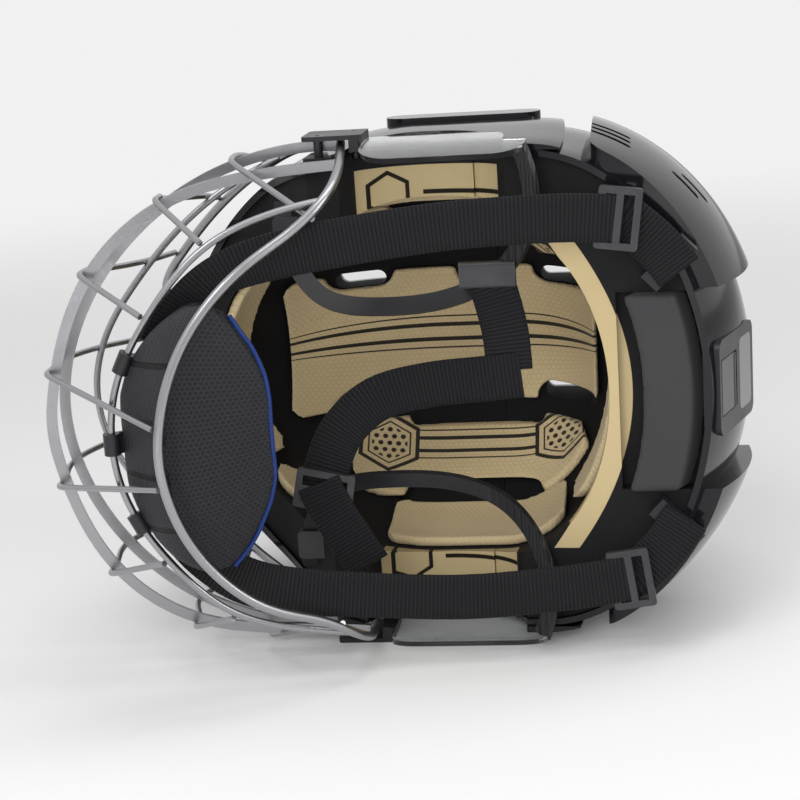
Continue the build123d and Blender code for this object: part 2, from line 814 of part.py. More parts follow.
def ribbon(stations, width=web_width):
    """Flat webbing through the stations, each a place and a tilt of its face."""
    places = [Vector(x, y, z) for x, y, z, _ in stations]
    sections = []
    for index, (x, y, z, tilt) in enumerate(stations):
        ahead = places[min(index + 1, len(places) - 1)]
        behind = places[max(index - 1, 0)]
        along = (ahead - behind).normalized()
        across = along.cross(Vector(0, 1, 0)).normalized().rotate(Axis((0, 0, 0), along), tilt)
        with BuildSketch(Plane(origin=(x, y, z), x_dir=across, z_dir=along)) as section:
            Rectangle(width, web_wall)
        sections.append(section.sketch)
    with BuildPart() as web:
        loft(sections)
    return web.part


chin_web_down = ((12, -52.5, 55, 0), (16, -53, 42, 0), (19, -54, 27, 0), (20, -55, 11, 0))
chin_web_across = (
    (25, -55.5, 9, 0),
    (8, -55, 7.5, 0),
    (-15, -54, 5.5, 0),
    (-38, -54, 0, 0),
    (-54, -55, -13, 0),
    (-62, -56, -29, 0),
    (-64.5, -57, -41, 0),
)
chin_web_tail = ((-66, -60, -36, 0), (-62, -60.5, -46, 0), (-54, -61, -60, 0), (-46, -61, -74, 0))
slider_wall = 2.6
slider_bar = 3.0
slider_length = 18.0
slider_corner = 1.5
chin_slider_place = (-64.0, -58.5, -40.0)
chin_slider_turn = 102.0


def slider():
    """Three-bar slider that lies flat and takes webbing through its windows."""
    window = (slider_length - 3 * slider_bar) / 2
    with BuildPart() as body:
        with BuildSketch(Plane.XZ):
            RectangleRounded(slider_length, web_width + 2 * slider_bar, slider_corner)
            with Locations((-(window + slider_bar) / 2, 0), ((window + slider_bar) / 2, 0)):
                Rectangle(window, web_width, mode=Mode.SUBTRACT)
        extrude(amount=slider_wall / 2, both=True)
    return body.part


with BuildPart() as chin_strap:
    add(ribbon(chin_web_down))
    add(ribbon(chin_web_across))
    add(ribbon(chin_web_tail))
    add(left_ear_loop.part, mode=Mode.SUBTRACT)
chin_strap.part.label = "chin_strap"

with BuildPart() as chin_slider:
    with Locations(Location(chin_slider_place, (0, chin_slider_turn, 0))):
        add(slider())
    add(chin_strap.part, mode=Mode.SUBTRACT)
chin_slider.part.label = "chin_slider"

# Keeper that holds the chin strap's upper end to the left loop
keeper_size = (24.0, 6.4, 11.0)
keeper_place = (12.5, -52.4, 52.5)

with BuildPart() as chin_keeper:
    with Locations(keeper_place):
        Box(*keeper_size)
    fillet(chin_keeper.edges().filter_by(Axis.X), slider_corner)
    add(chin_strap.part, mode=Mode.SUBTRACT)
    add(left_ear_loop.part, mode=Mode.SUBTRACT)
chin_keeper.part.label = "chin_keeper"

# Small plastic loops that tie the cup to the cup bar
cup_loop_places = (-34, 0.5, 34)
cup_loop_radius = 3.4
cup_loop_length = 9.0
cup_loop_bore = 1.75
cup_tongue = 12.0
cup_tongue_wall = 2.0

with BuildPart() as cup_loops:
    for z in cup_loop_places:
        place, along = point_at_side(cup_path.wire(), abs(z))
        turn = 1 if z > 0 else -1
        place = Vector(place.X, place.Y, place.Z * turn)
        along = Vector(along.X, along.Y * turn, along.Z * turn) * turn
        with BuildSketch(Plane(origin=place, x_dir=(1, 1, 0), z_dir=(along.X * turn, 0, along.Z * turn))):
            Circle(cup_loop_radius)
            Rectangle(cup_tongue, cup_tongue_wall, align=(Align.MIN, Align.CENTER))
            Circle(cup_loop_bore, mode=Mode.SUBTRACT)
        extrude(amount=cup_loop_length / 2, both=True)
cup_loops.part.label = "cup_loops"

# Chin cup, turned about a line over the chin
cup_axis_y = -3.0
cup_turn = 27.0
cup_sag = -3.0
cup_half = 58.0
cup_tip_x = -97.0
cup_front_x = -137.0
cup_back_x = -73.0
cup_under = ((-135, -114), (-123, -126.5), (-112, -132), (-95, -125.5), (-74, -108))
cup_over = ((-76, -103.5), (-95, -117), (-109, -122), (-121, -117.5), (-130, -110))

with BuildPart() as chin_cup:
    with BuildSketch():
        with BuildLine():
            under = Spline(*cup_under)
            over = Spline(*cup_over)
            Line(under @ 1, over @ 0)
            Line(over @ 1, under @ 0)
        make_face()
    cup_axis = Axis((0, cup_axis_y, 0), (1, 0, 0))
    revolve(axis=cup_axis, revolution_arc=cup_turn)
    mirror(about=Plane.XY)
    with BuildSketch(Plane.XZ):
        with Locations((0, cup_sag)):
            with BuildLine():
                ThreePointArc((cup_tip_x, -cup_half), (cup_front_x, 0), (cup_tip_x, cup_half))
                ThreePointArc((cup_tip_x, -cup_half), (cup_back_x, 0), (cup_tip_x, cup_half))
            make_face()
    extrude(amount=2 * reach_out, mode=Mode.INTERSECT)
    add(cup_loops.part, mode=Mode.SUBTRACT)
chin_cup.part.label = "chin_cup"

# Straps from the chin cup back to the nape
cage_web = (
    (-118, -107.6, 38, 34),
    (-108, -104.6, 53, 36),
    (-93, -102.5, 65, 30),
    (-72, -99.5, 71.5, 13),
    (-40, -94, 76, 0),
    (0, -88, 79.5, 0),
    (40, -80, 79.5, 0),
    (62, -75.8, 78, 0),
    (71, -74, 77, 0),
)
anchor_web = ((63, -72.8, 79, 0), (72, -71.3, 76, 0), (84, -69, 65, 0), (93, -67.7, 53, 0))
slider_place = (69.0, -74.4, 77.5)
slider_turn = 8.0
anchor_size = (9.0, 9.0, 24.0)
anchor_place = (89.0, -62.2, 56.5)
anchor_turn = 46.0

with BuildPart() as left_cage_strap:
    add(ribbon(cage_web))
    add(chin_cup.part, mode=Mode.SUBTRACT)
left_cage_strap.part.label = "left_cage_strap"

with BuildPart() as left_anchor_strap:
    add(ribbon(anchor_web))
left_anchor_strap.part.label = "left_anchor_strap"

with BuildPart() as left_strap_slider:
    with Locations(Location(slider_place, (0, slider_turn, 0))):
        add(slider())
    add(left_cage_strap.part, mode=Mode.SUBTRACT)
    add(left_anchor_strap.part, mode=Mode.SUBTRACT)
left_strap_slider.part.label = "left_strap_slider"

with BuildPart() as left_strap_anchor:
    with Locations(Location(anchor_place, (0, anchor_turn, 0))):
        Box(*anchor_size)
    add(rear_shell.part, mode=Mode.SUBTRACT)
    add(rear_foam.part, mode=Mode.SUBTRACT)
left_strap_anchor.part.label = "left_strap_anchor"

with BuildPart() as lever_housing:
    with BuildSketch(lever_plane.offset(housing_proud)):
        RectangleRounded(housing_width, housing_height, housing_corner)
    extrude(amount=-housing_proud - housing_root)
    with BuildSketch(lever_plane.offset(housing_proud)):
        with Locations((0, badge_place)):
            RectangleRounded(badge_width, badge_height, badge_corner)
    extrude(amount=-badge_depth, mode=Mode.SUBTRACT)
    with BuildSketch(lever_plane.offset(housing_proud)):
        with Locations((0, (pocket_start + pocket_end) / 2)):
            Rectangle(lever_width + 2 * lever_gap, pocket_end - pocket_start)
    extrude(amount=pocket_floor - housing_proud, mode=Mode.SUBTRACT)
    pin_plane = Plane(
        origin=lever_plane.from_local_coords((0, pin_place, pin_height)), x_dir=(1, 0, 0), z_dir=(0, 0, 1)
    )
    with BuildSketch(pin_plane):
        Circle(pin_radius + fit_gap)
    extrude(amount=housing_width / 2 - housing_corner / 2, both=True, mode=Mode.SUBTRACT)
lever_housing.part.label = "lever_housing"

with BuildPart() as badge_panel:
    with BuildSketch(lever_plane.offset(housing_proud)):
        with Locations((0, badge_place)):
            RectangleRounded(badge_width - 2 * fit_gap, badge_height - 2 * fit_gap, badge_corner)
    extrude(amount=-badge_depth)
badge_panel.part.label = "badge_panel"

with BuildPart() as lever_pin:
    with BuildSketch(pin_plane):
        Circle(pin_radius)
    extrude(amount=housing_width / 2 - housing_corner / 2, both=True)
lever_pin.part.label = "lever_pin"

with BuildPart() as size_lever:
    with BuildSketch(pin_plane):
        Circle(barrel_radius)
    extrude(amount=lever_width / 2, both=True)
    with BuildSketch(lever_plane.offset(lever_low)):
        with Locations((0, (lever_start + lever_end) / 2)):
            Rectangle(lever_width, lever_end - lever_start)
    extrude(amount=housing_proud - lever_low)
    fillet(size_lever.edges().group_by(Axis.Y)[0].filter_by(Axis.Z), slider_corner / 2)
    with BuildSketch(pin_plane):
        Circle(pin_radius + fit_gap)
    extrude(amount=lever_width, both=True, mode=Mode.SUBTRACT)
size_lever.part.label = "size_lever"

with BuildPart() as right_side_pad:
    mirror(left_side_pad.part, about=Plane.XY)
with BuildPart() as right_temple_pad:
    mirror(left_temple_pad.part, about=Plane.XY)
with BuildPart() as right_ear_pad:
    mirror(left_ear_pad.part, about=Plane.XY)
with BuildPart() as right_cage_clip:
    mirror(left_cage_clip.part, about=Plane.XY)
with BuildPart() as right_brow_clip:
    mirror(left_brow_clip.part, about=Plane.XY)
with BuildPart() as right_ear_guard:
    mirror(left_ear_guard.part, about=Plane.XY)
with BuildPart() as right_ear_loop:
    mirror(left_ear_loop.part, about=Plane.XY)
with BuildPart() as right_loop_clasp:
    mirror(left_loop_clasp.part, about=Plane.XY)
with BuildPart() as right_cage_strap:
    mirror(left_cage_strap.part, about=Plane.XY)
with BuildPart() as right_anchor_strap:
    mirror(left_anchor_strap.part, about=Plane.XY)
with BuildPart() as right_strap_slider:
    mirror(left_strap_slider.part, about=Plane.XY)
with BuildPart() as right_strap_anchor:
    mirror(left_strap_anchor.part, about=Plane.XY)

pieces = {
    "front_shell": front_shell.part,
    "rear_shell": rear_shell.part,
    "front_foam": front_foam.part,
    "rear_foam": rear_foam.part,
    "crown_pad": crown_pad.part,
    "brow_pad": brow_pad.part,
    "occipital_pad": occipital_pad.part,
    "nape_pad": nape_pad.part,
    "left_side_pad": left_side_pad.part,
    "right_side_pad": right_side_pad.part,
    "left_temple_pad": left_temple_pad.part,
    "right_temple_pad": right_temple_pad.part,
    "left_ear_pad": left_ear_pad.part,
    "right_ear_pad": right_ear_pad.part,
    "left_ear_guard": left_ear_guard.part,
    "right_ear_guard": right_ear_guard.part,
    "left_ear_loop": left_ear_loop.part,
    "right_ear_loop": right_ear_loop.part,
    "left_loop_clasp": left_loop_clasp.part,
    "right_loop_clasp": right_loop_clasp.part,
    "left_cage_clip": left_cage_clip.part,
    "right_cage_clip": right_cage_clip.part,
    "clip_screws": clip_screws.part,
    "left_brow_clip": left_brow_clip.part,
    "right_brow_clip": right_brow_clip.part,
    "brow_screws": brow_screws.part,
    "shell_screws": shell_screws.part,
    "chin_strap": chin_strap.part,
    "chin_slider": chin_slider.part,
    "chin_keeper": chin_keeper.part,
    "lever_housing": lever_housing.part,
    "badge_panel": badge_panel.part,
    "lever_pin": lever_pin.part,
    "size_lever": size_lever.part,
    "left_strap_anchor": left_strap_anchor.part,
    "right_strap_anchor": right_strap_anchor.part,
    "brow_wire": brow_wire.part,
    "eye_bar": eye_bar.part,
    "nose_bar": nose_bar.part,
    "mouth_bar": mouth_bar.part,
    "cup_bar": cup_bar.part,
    "chin_ring": chin_ring.part,
    "cage_wires": cage_wires.part,
    "chin_cup": chin_cup.part,
    "cup_loops": cup_loops.part,
    "left_cage_strap": left_cage_strap.part,
    "right_cage_strap": right_cage_strap.part,
    "left_strap_slider": left_strap_slider.part,
    "right_strap_slider": right_strap_slider.part,
    "left_anchor_strap": left_anchor_strap.part,
    "right_anchor_strap": right_anchor_strap.part,
}

# The whole rests on its right side, with its footprint centred on the origin
whole = Compound(children=[Compound(part.solids()) for part in pieces.values()]).bounding_box()
rest = Pos(-whole.center().X, -whole.center().Y, -whole.min.Z)
for name, part in pieces.items():
    placed = rest * part
    placed.label = name
    export_step(placed, f"parts/{name}.step")
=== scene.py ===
import json
import math

import bpy
from mathutils import Matrix, Vector


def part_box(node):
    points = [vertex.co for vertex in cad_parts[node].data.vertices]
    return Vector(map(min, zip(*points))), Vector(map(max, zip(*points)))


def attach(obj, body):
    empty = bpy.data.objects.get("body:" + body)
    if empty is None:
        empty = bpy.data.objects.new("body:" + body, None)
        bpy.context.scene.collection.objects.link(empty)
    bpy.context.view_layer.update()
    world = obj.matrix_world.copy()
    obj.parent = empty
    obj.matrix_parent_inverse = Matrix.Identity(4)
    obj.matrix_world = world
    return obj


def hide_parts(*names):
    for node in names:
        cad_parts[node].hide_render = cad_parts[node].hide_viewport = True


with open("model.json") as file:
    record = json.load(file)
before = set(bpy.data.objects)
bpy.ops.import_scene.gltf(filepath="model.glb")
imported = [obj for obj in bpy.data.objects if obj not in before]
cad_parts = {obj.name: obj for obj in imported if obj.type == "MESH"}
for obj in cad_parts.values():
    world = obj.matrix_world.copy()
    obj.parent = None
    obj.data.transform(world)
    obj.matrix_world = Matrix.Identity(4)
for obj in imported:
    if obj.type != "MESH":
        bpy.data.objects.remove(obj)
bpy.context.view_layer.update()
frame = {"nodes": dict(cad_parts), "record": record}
nodes = frame["nodes"]
body_of_node = {
    node: body
    for body, held in frame["record"]["behaviour"]["bodies"].items()
    for node in held
}

MM_PER_M = 1000

# Places below are in millimetres from the helmet's own middle: X to the rear, Y to the
# crown and Z to the wearer's left. The left cage clip's box says where that middle is.
CLIP_FRONT, CLIP_LOW, CLIP_FACE = -64, -51, 114.2
clip_low, clip_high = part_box("left_cage_clip")
SHIFT = Vector(
    (
        clip_low[0] - CLIP_FRONT / MM_PER_M,
        clip_low[1] - CLIP_LOW / MM_PER_M,
        clip_high[2] - CLIP_FACE / MM_PER_M,
    )
)


def at(x, y, z):
    """A place in the row's frame, in metres."""
    return Vector((x, y, z)) / MM_PER_M + SHIFT


class Num:
    """A number in a node tree, so that sums can be written out."""

    def __init__(self, tree, out):
        self.tree, self.out = tree, out

    def do(self, op, *others):
        node = self.tree.nodes.new("ShaderNodeMath")
        node.operation = op
        for place, value in enumerate((self, *others)):
            if isinstance(value, Num):
                self.tree.links.new(value.out, node.inputs[place])
            else:
                node.inputs[place].default_value = value
        return Num(self.tree, node.outputs[0])

    def __add__(self, other):
        return self.do("ADD", other)

    def __sub__(self, other):
        return self.do("SUBTRACT", other)

    def __mul__(self, other):
        return self.do("MULTIPLY", other)

    def abs(self):
        return self.do("ABSOLUTE")

    def larger(self, other):
        return self.do("MAXIMUM", other)

    def smaller(self, other):
        return self.do("MINIMUM", other)

    def turned(self):
        """1 for 0 and 0 for 1."""
        return self * -1 + 1

    def wrap(self, span):
        """Place in its own repeat of the span, from that repeat's middle."""
        return self.do("FLOORED_MODULO", span) - span / 2

    def below(self, limit, soft=0.1):
        """1 under the limit and 0 over it, with a soft edge."""
        node = self.tree.nodes.new("ShaderNodeMapRange")
        node.interpolation_type = "SMOOTHSTEP"
        self.tree.links.new(self.out, node.inputs["Value"])
        node.inputs["From Min"].default_value = limit - soft
        node.inputs["From Max"].default_value = limit + soft
        node.inputs["To Min"].default_value = 1
        node.inputs["To Max"].default_value = 0
        return Num(self.tree, node.outputs["Result"])

    def spread(self, low, high):
        """From 0..1 to low..high."""
        return self * (high - low) + low


class Paint:
    """One material and its principled shader.

    Under rough() the plain roughness is only there for viewers that can't follow nodes.
    """

    def __init__(self, name, colour, roughness=0.5, **sockets):
        self.mat = bpy.data.materials.new(name)
        self.mat.use_nodes = True
        self.tree = self.mat.node_tree
        self.shader = self.tree.nodes["Principled BSDF"]
        self.shader.inputs["Base Color"].default_value = (*colour, 1)
        self.shader.inputs["Roughness"].default_value = roughness
        for key, value in sockets.items():
            self.shader.inputs[key.replace("_", " ")].default_value = value
        self.mat.diffuse_color = (*colour, 1)

    def place(self):
        """Place on the piece, in millimetres from the helmet's middle."""
        coords = self.tree.nodes.new("ShaderNodeTexCoord")
        split = self.tree.nodes.new("ShaderNodeSeparateXYZ")
        self.tree.links.new(coords.outputs["Object"], split.inputs[0])
        found = [Num(self.tree, split.outputs[k]) for k in range(3)]
        return [(found[k] - SHIFT[k]) * MM_PER_M for k in range(3)]

    def flat(self):
        """Place on the piece's flat cut, in millimetres."""
        uv = self.tree.nodes.new("ShaderNodeUVMap")
        uv.uv_map = "flat"
        split = self.tree.nodes.new("ShaderNodeSeparateXYZ")
        self.tree.links.new(uv.outputs[0], split.inputs[0])
        return [Num(self.tree, split.outputs[k]) * MM_PER_M for k in range(2)]

    def noise(self, size, detail=3.0, stretch=(1, 1, 1)):
        """Noise of that size in millimetres, 0 to 1."""
        coords = self.tree.nodes.new("ShaderNodeTexCoord")
        mapping = self.tree.nodes.new("ShaderNodeMapping")
        mapping.inputs["Scale"].default_value = stretch
        self.tree.links.new(coords.outputs["Object"], mapping.inputs[0])
        node = self.tree.nodes.new("ShaderNodeTexNoise")
        node.inputs["Scale"].default_value = MM_PER_M / size
        node.inputs["Detail"].default_value = detail
        self.tree.links.new(mapping.outputs[0], node.inputs["Vector"])
        return Num(self.tree, node.outputs["Fac"])

    def cells(self, size):
        """Distance to the walls of uneven cells of that size in millimetres."""
        coords = self.tree.nodes.new("ShaderNodeTexCoord")
        node = self.tree.nodes.new("ShaderNodeTexVoronoi")
        node.feature = "DISTANCE_TO_EDGE"
        node.inputs["Scale"].default_value = MM_PER_M / size
        self.tree.links.new(coords.outputs["Object"], node.inputs["Vector"])
        return Num(self.tree, node.outputs["Distance"])

    def rough(self, value):
        self.tree.links.new(value.out, self.shader.inputs["Roughness"])

    def tint(self, share, colour):
        """Mix the colour in by the share."""
        mix = self.tree.nodes.new("ShaderNodeMix")
        mix.data_type = "RGBA"
        self.tree.links.new(share.out, mix.inputs["Factor"])
        source = self.shader.inputs["Base Color"]
        if source.links:
            self.tree.links.new(source.links[0].from_socket, mix.inputs["A"])
        else:
            mix.inputs["A"].default_value = source.default_value
        mix.inputs["B"].default_value = (*colour, 1)
        self.tree.links.new(mix.outputs["Result"], source)

    def bump(self, height, depth, strength=1.0):
        """Raise the surface by the height, whose 1 is the depth in millimetres."""
        node = self.tree.nodes.new("ShaderNodeBump")
        node.inputs["Strength"].default_value = strength
        node.inputs["Distance"].default_value = depth / MM_PER_M
        self.tree.links.new(height.out, node.inputs["Height"])
        target = self.shader.inputs["Normal"]
        if target.links:
            self.tree.links.new(target.links[0].from_socket, node.inputs["Normal"])
        self.tree.links.new(node.outputs[0], target)


# The way that a hexagon's sloped sides face, and the rise of two rows of cells 1 wide
SLOPE_X, SLOPE_Y = 0.5, 0.866
TWO_ROWS = 1.732


def hexagon(x, y):
    """Distance from the middle to a hexagon's sides, with corners up and down."""
    return x.abs().larger(x.abs() * SLOPE_X + y.abs() * SLOPE_Y)


def honeycomb(u, v, cell):
    """Distance from the middle of the nearest cell of a honeycomb."""
    tall = cell * TWO_ROWS
    even = hexagon(u.wrap(cell), v.wrap(tall))
    odd = hexagon((u + cell / 2).wrap(cell), (v + tall / 2).wrap(tall))
    return even.smaller(odd)


# Gloss black shells
shell = Paint(
    "shell_gloss",
    (0.007, 0.007, 0.009),
    0.12,
    IOR=1.5,
    Specular_IOR_Level=0.25,
    Coat_Weight=0.15,
    Coat_Roughness=0.04,
)
shell.rough(shell.noise(30, 5).spread(0.07, 0.2))
shell.bump(shell.noise(9, 2), 0.02, 0.25)

# Black bead foam
BEAD = 2.6
foam = Paint("bead_foam", (0.008, 0.008, 0.009), 0.75, Specular_IOR_Level=0.2)
foam.bump(foam.cells(BEAD), 0.35, 0.5)
foam.tint(foam.noise(18, 4) * 0.5, (0.016, 0.016, 0.017))

INK = (0.012, 0.009, 0.006)
# The third tan is a painted highlight for the pads' raised honeycomb cells
TAN, TAN_SHADE, TAN_CELL_HIGHLIGHT = (0.66, 0.53, 0.31), (0.44, 0.325, 0.15), (0.74, 0.61, 0.38)
LINING, LINING_SHADE = (0.50, 0.40, 0.225), (0.40, 0.30, 0.15)
CLOUD, CLOUD_SHARE = 40, 0.45

# Tan lining that wraps the foam's rim, round the nape and over the ears
NAPE_X, NAPE_BOW, NAPE_HALF = 66.5, 0.0052, 5.5
NAPE_REACH, NAPE_TOP = 70, -46
EAR_Z, EAR_HALF = 84.5, 12
EAR_X, EAR_REACH, EAR_TOP = -14, 31, -15
x, y, z = foam.place()
off_middle = z.abs()
nape_edge = x + off_middle * off_middle * NAPE_BOW
nape_band = (nape_edge - NAPE_X).abs().below(NAPE_HALF)
nape_band = nape_band * off_middle.below(NAPE_REACH) * y.below(NAPE_TOP)
ear_band = (off_middle - EAR_Z).abs().below(EAR_HALF)
ear_band = ear_band * (x - EAR_X).abs().below(EAR_REACH) * y.below(EAR_TOP)
lining = nape_band.larger(ear_band)
foam.tint(lining, LINING)
foam.tint(lining * foam.noise(CLOUD, 4).spread(0, CLOUD_SHARE), LINING_SHADE)

# Print on the ear lining, a hexagon and a line behind it
EAR_RING_X, EAR_RING, EAR_RING_HALF = -32, 8.2, 0.9
EAR_LINE_X, EAR_LINE_REACH, EAR_LINE_HALF = 2, 19, 1.0
ear_ring = (hexagon(x - EAR_RING_X, off_middle - EAR_Z) - EAR_RING).abs().below(EAR_RING_HALF)
ear_line = (off_middle - EAR_Z).abs().below(EAR_LINE_HALF)
ear_line = ear_line * (x - EAR_LINE_X).abs().below(EAR_LINE_REACH)
foam.tint(ear_ring.larger(ear_line) * ear_band, INK)

PAD_CELL = 2.6


def tan_foam(name):
    """Tan foam with a pressed honeycomb whose raised cells carry a painted highlight, and its
    place on the flat cut.
    """
    paint = Paint(name, TAN, 0.62, Sheen_Weight=0.15, Sheen_Roughness=0.5)
    u, v = paint.flat()
    comb = honeycomb(u, v, PAD_CELL).below(1.0, 0.2)
    paint.tint(paint.noise(CLOUD, 4).spread(0, CLOUD_SHARE), TAN_SHADE)
    # The raised cells are tinted lighter than the grooves between them: a painted highlight on
    # the cells and painted shade in the grooves
    paint.tint(comb * 0.4, TAN_CELL_HIGHLIGHT)
    paint.bump(comb, 0.2, 0.8)
    paint.bump(paint.noise(1.2, 2), 0.06, 0.35)
    return paint, u, v


# How far each printed line is from the middle, and half its width
WIDE_LINE, WIDE_HALF = 3.4, 0.95
THIN_LINE, THIN_HALF = 7.4, 0.36


def stripes(v):
    """Four printed lines, the outer two thin."""
    off = v.abs()
    wide = (off - WIDE_LINE).abs().below(WIDE_HALF)
    return wide.larger((off - THIN_LINE).abs().below(THIN_HALF))


# The badge's rings, its patch of dots and what it covers, from its middle
OUTER_RING, OUTER_HALF = 13.6, 1.0
INNER_RING, INNER_HALF = 10.0, 0.4
DOT_PITCH, DOT_RADIUS, DOT_PATCH = 4.3, 1.25, 8.6
BADGE_COVERS = 14.5


def badge(u, v, middle_u, middle_v, size=1.0):
    """Print of a double hexagon round a patch of dots, as (ink, inside)."""
    x, y = u - middle_u, v - middle_v
    ring = hexagon(x, y)
    ink = (ring - OUTER_RING * size).abs().below(OUTER_HALF)
    ink = ink.larger((ring - INNER_RING * size).abs().below(INNER_HALF))
    pitch = DOT_PITCH * size
    tall = pitch * TWO_ROWS
    near = []
    for shift_x, shift_y in ((0, 0), (pitch / 2, tall / 2)):
        p = (x + shift_x + pitch / 2).wrap(pitch)
        q = (y + shift_y + tall / 2).wrap(tall)
        near.append((p * p + q * q).do("SQRT"))
    dots = near[0].smaller(near[1]).below(DOT_RADIUS * size, 0.12)
    dots = dots * ring.below(DOT_PATCH * size, 0.2)
    return ink.larger(dots), ring.below(BADGE_COVERS * size)


crown_paint, u, v = tan_foam("crown_foam_print")
crown_paint.tint(stripes(v), INK)

# Two badges joined by stripes
FRONT_BADGE, REAR_BADGE = -51, 36
BETWEEN_MIDDLE = (FRONT_BADGE + REAR_BADGE) / 2
BETWEEN_REACH = 44
side_paint, u, v = tan_foam("side_foam_print")
front_ink, front_inside = badge(u, v, FRONT_BADGE, 0)
rear_ink, rear_inside = badge(u, v, REAR_BADGE, 0)
between = stripes(v) * (u - BETWEEN_MIDDLE).abs().below(BETWEEN_REACH)
between = between * front_inside.larger(rear_inside).turned()
side_paint.tint(front_ink.larger(rear_ink).larger(between), INK)

# A small badge with stripes up to the pad's top
BROW_BADGE, BROW_BADGE_SIZE, BROW_TOP = 13, 0.7, 40
brow_paint, u, v = tan_foam("brow_foam_print")
brow_ink, brow_inside = badge(u, v, 0, BROW_BADGE, BROW_BADGE_SIZE)
brow_paint.tint(brow_ink.larger(stripes(u) * brow_inside.turned() * v.below(BROW_TOP)), INK)

plain_paint = tan_foam("plain_foam")[0]
edge_paint = tan_foam("rear_foam_band")[0]

nape_paint = Paint(
    "nape_foam", (0.032, 0.031, 0.033), 0.5, Sheen_Weight=0.05, Specular_IOR_Level=0.25
)
nape_paint.bump(nape_paint.noise(0.8, 2), 0.08, 0.5)
nape_paint.tint(nape_paint.noise(25, 3) * 0.4, (0.05, 0.048, 0.05))

# Clear guards
clear = Paint("clear_guard", (0.93, 0.95, 0.95), 0.03, IOR=1.49, Transmission_Weight=1.0)
clear.rough(clear.noise(20, 3).spread(0.02, 0.09))
clear.bump(clear.noise(14, 2), 0.05, 0.3)

# Moulded plastics. The rear part of the ear loops is grooved across.
GROOVE_PITCH, GROOVE_HALF = 3.2, 0.9
GROOVED_X, GROOVED_REACH, GROOVED_FROM, GROOVED_FADE = -20, 60, 8, 3
loop = Paint("loop_plastic", (0.012, 0.012, 0.014), 0.28, Specular_IOR_Level=0.4)
x = loop.place()[0]
grooves = (x.wrap(GROOVE_PITCH).abs() - GROOVE_HALF).below(0.0, 0.2)
grooves = grooves * (x - GROOVED_X).abs().below(GROOVED_REACH)
grooves = grooves * (x - GROOVED_FROM).below(0, GROOVED_FADE).turned()
loop.bump(grooves * -1, 0.5, 0.8)
loop.rough(loop.noise(12, 3).spread(0.22, 0.38))

clip_paint = Paint("clip_plastic", (0.012, 0.012, 0.014), 0.32, Specular_IOR_Level=0.4)
clip_paint.bump(clip_paint.noise(0.7, 2), 0.04, 0.4)
clip_paint.rough(clip_paint.noise(15, 3).spread(0.3, 0.45))

slider_paint = Paint("slider_plastic", (0.016, 0.016, 0.018), 0.36, Specular_IOR_Level=0.4)
slider_paint.bump(slider_paint.noise(0.6, 2), 0.04, 0.4)
slider_paint.tint(slider_paint.noise(10, 3) * 0.5, (0.075, 0.075, 0.08))

lever_paint = Paint("lever_plastic", (0.012, 0.012, 0.013), 0.22)
lever_paint.bump(lever_paint.noise(1.0, 2), 0.03, 0.3)
lever_paint.rough(lever_paint.noise(12, 3).spread(0.18, 0.3))
lever_paint.tint(lever_paint.noise(8, 3) * 0.4, (0.03, 0.03, 0.032))

badge_paint = Paint("badge_inlay", (0.014, 0.012, 0.013), 0.09, Coat_Weight=0.6)
badge_paint.tint(badge_paint.noise(6, 3) * 0.5, (0.035, 0.03, 0.03))

# Screws, pin and wires
screw_paint = Paint("black_steel", (0.05, 0.05, 0.055), 0.3, Metallic=0.9)
screw_paint.rough(screw_paint.noise(2, 3).spread(0.22, 0.42))

steel = Paint("satin_wire", (0.35, 0.35, 0.365), 0.38, Metallic=1.0)
steel.rough(steel.noise(6, 4).spread(0.22, 0.4))
steel.bump(steel.noise(0.5, 2, (1, 1, 0.2)), 0.02, 0.25)
steel.tint(steel.noise(18, 3) * 0.3, (0.38, 0.38, 0.40))

# Webbing, ribbed across in a zigzag, with yarns along it, and a painted highlight on the rib
# crests
RIB, RIB_ZIGZAG, RIB_LEAN = 1.7, 2.4, 0.25
YARN = 0.9
web_paint = Paint(
    "ribbed_webbing", (0.006, 0.006, 0.007), 0.6, Sheen_Weight=0.02, Specular_IOR_Level=0.15
)
u, v = web_paint.flat()
rib = (v + u.wrap(RIB_ZIGZAG).abs() * RIB_LEAN).wrap(RIB).abs() * (2 / RIB)
yarn = u.wrap(YARN).abs() * (2 / YARN)
web_paint.bump(rib * -1, 0.4, 0.7)
web_paint.bump(yarn * -1, 0.12, 0.5)
# Rib crests tinted lighter: a painted highlight on the ribs
web_paint.tint(rib.below(0.45, 0.35) * 0.5, (0.017, 0.017, 0.019))
web_paint.rough(rib.spread(0.42, 0.75))

# Chin cup of open mesh, with painted shade in its holes
CUP_CELL, CUP_HOLE = 2.0, 0.62
mesh_paint = Paint("cup_mesh", (0.006, 0.006, 0.008), Sheen_Weight=0.03, Specular_IOR_Level=0.25)
u, v = mesh_paint.flat()
holes = honeycomb(u, v, CUP_CELL).below(CUP_HOLE, 0.16)
mesh_paint.bump(holes * -1, 0.35, 0.7)
# The strands are tinted lighter and the holes keep the near-black base: painted shade in the
# holes
mesh_paint.tint(holes.turned(), (0.017, 0.017, 0.021))
mesh_paint.rough(mesh_paint.noise(8, 3).spread(0.4, 0.6))

# Its front band, with a fine grain and slits across, and painted shade in the grain's grooves
# and in the slits
GRAIN, CROSS_GRAIN = 1.5, 1.9
SLIT_PITCH, SLIT_HALF = 23, 1.1
band_paint = Paint("cup_band", (0.020, 0.021, 0.024), 0.5, Specular_IOR_Level=0.3)
u, v = band_paint.flat()
grain = (u + v).wrap(GRAIN).abs() * 1.2
grain = grain.smaller((u - v * 0.4).wrap(CROSS_GRAIN).abs())
band_paint.bump(grain, 0.35, 0.8)
